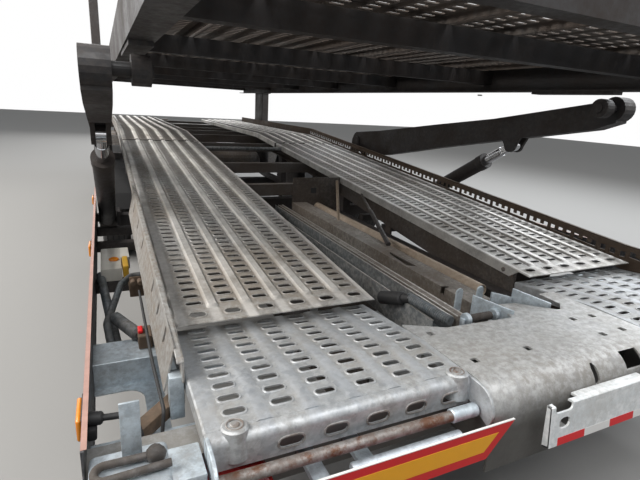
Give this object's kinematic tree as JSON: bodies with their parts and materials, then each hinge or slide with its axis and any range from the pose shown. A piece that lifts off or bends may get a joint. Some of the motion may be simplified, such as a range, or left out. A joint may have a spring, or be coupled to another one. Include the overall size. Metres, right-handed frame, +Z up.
{
  "type": "car transporter trailer",
  "caption": "Two-deck car transporter trailer with fluted runways, a lifting upper deck on arms and posts, twin wheels and a centre drawbar.",
  "frame": {"origin": "on the ground at the centre of the part's box", "axes": "+Y forward to the towing eye, +Z up, +X to the right"},
  "size_m": [2.58, 9.52, 2.6],
  "materials": {
    "galvanised": "weathered galvanised steel sheet",
    "dark_steel": "black painted steel, dusty",
    "frame_grey": "grey painted steel, worn",
    "black_kerb": "black painted steel with brown dirt",
    "skirt": "dark painted sheet",
    "rim": "silver painted wheel",
    "tyre": "worn road tyre",
    "chrome": "hard chrome rod",
    "board": "reflective board, yellow with a red border",
    "lamp": "red lamp lens",
    "rubber": "black rubber",
    "amber_lamp": "amber lamp lens"
  },
  "bodies": {
    "trailer": {"air_tank": "frame_grey", "arm_brackets": "dark_steel", "axle_front": "dark_steel", "axle_rear": "dark_steel", "centre_members": "frame_grey", "chassis_frame": "frame_grey", "corner_boxes": "galvanised", "cylinder_brackets": "dark_steel", "drawbar": "frame_grey", "front_post_left": "dark_steel", "front_post_right": "dark_steel", "hydraulic_unit": "frame_grey", "jack_leg": "frame_grey", "kerb_left": "galvanised", "kerb_right": "black_kerb", "marking_boards": "board", "mudguards": "rubber", "rear_crossbeam": "galvanised", "rear_lamps": "lamp", "runway_front_left": "galvanised", "runway_front_right": "galvanised", "runway_rear_left": "galvanised", "runway_rear_right": "galvanised", "runway_slope_left": "galvanised", "runway_slope_right": "galvanised", "side_lamps": "amber_lamp", "side_skirt_left": "skirt", "side_skirt_right": "skirt", "skirt_brackets": "galvanised", "suspension": "dark_steel", "toolbox": "frame_grey", "towing_eye": "galvanised", "underrun_guard": "galvanised"},
    "upper_deck": {"upper_deck_frame": "dark_steel", "upper_planks": "dark_steel", "upper_carriages": "dark_steel"},
    "arm_left": {"lift_arm_left": "dark_steel"},
    "arm_right": {"lift_arm_right": "dark_steel"},
    "barrel_left": {"lift_barrel_left": "dark_steel"},
    "barrel_right": {"lift_barrel_right": "dark_steel"},
    "rod_left": {"lift_rod_left": "chrome"},
    "rod_right": {"lift_rod_right": "chrome"},
    "wheels_front_left": {"wheel_front_left": "rim", "tyres_front_left": "tyre"},
    "wheels_front_right": {"wheel_front_right": "rim", "tyres_front_right": "tyre"},
    "wheels_rear_left": {"wheel_rear_left": "rim", "tyres_rear_left": "tyre"},
    "wheels_rear_right": {"wheel_rear_right": "rim", "tyres_rear_right": "tyre"}
  },
  "joints": [
    {"name": "deck_lift", "type": "slide", "parent": "trailer", "child": "upper_deck", "axis": [0, 0, 1], "range_m": [0, 0.9]},
    {"name": "arm_pivot_left", "type": "hinge", "parent": "trailer", "child": "arm_left", "pos_m": [-1.205, -1.2, 0.95], "axis": [-1, 0, 0], "range_deg": [0, 20.86]},
    {"name": "cylinder_pivot_left", "type": "hinge", "parent": "trailer", "child": "barrel_left", "pos_m": [-1.205, -2.05, 0.45], "axis": [-1, 0, 0], "range_deg": [0, 25.45]},
    {"name": "rod_slide_left", "type": "slide", "parent": "barrel_left", "child": "rod_left", "axis": [0, -0.8645, 0.5027], "range_m": [0, 0.3394]},
    {"name": "arm_pivot_right", "type": "hinge", "parent": "trailer", "child": "arm_right", "pos_m": [1.205, -1.2, 0.95], "axis": [-1, 0, 0], "range_deg": [0, 20.86]},
    {"name": "cylinder_pivot_right", "type": "hinge", "parent": "trailer", "child": "barrel_right", "pos_m": [1.205, -2.05, 0.45], "axis": [-1, 0, 0], "range_deg": [0, 25.45]},
    {"name": "rod_slide_right", "type": "slide", "parent": "barrel_right", "child": "rod_right", "axis": [0, -0.8645, 0.5027], "range_m": [0, 0.3394]},
    {"name": "wheel_spin_rear_left", "type": "hinge", "parent": "trailer", "child": "wheels_rear_left", "pos_m": [-1.03, -1.3, 0.3555], "axis": [1, 0, 0], "continuous": true},
    {"name": "wheel_spin_rear_right", "type": "hinge", "parent": "trailer", "child": "wheels_rear_right", "pos_m": [1.03, -1.3, 0.3555], "axis": [1, 0, 0], "continuous": true},
    {"name": "wheel_spin_front_left", "type": "hinge", "parent": "trailer", "child": "wheels_front_left", "pos_m": [-1.03, -0.1, 0.3555], "axis": [1, 0, 0], "continuous": true},
    {"name": "wheel_spin_front_right", "type": "hinge", "parent": "trailer", "child": "wheels_front_right", "pos_m": [1.03, -0.1, 0.3555], "axis": [1, 0, 0], "continuous": true}
  ],
  "couplings": [
    {"joint": "arm_pivot_left", "follows": "deck_lift", "rad_per_m": 0.4044},
    {"joint": "cylinder_pivot_left", "follows": "deck_lift", "rad_per_m": 0.49351},
    {"joint": "rod_slide_left", "follows": "deck_lift", "ratio": 0.37704},
    {"joint": "arm_pivot_right", "follows": "deck_lift", "rad_per_m": 0.4044},
    {"joint": "cylinder_pivot_right", "follows": "deck_lift", "rad_per_m": 0.49351},
    {"joint": "rod_slide_right", "follows": "deck_lift", "ratio": 0.37704}
  ]
}
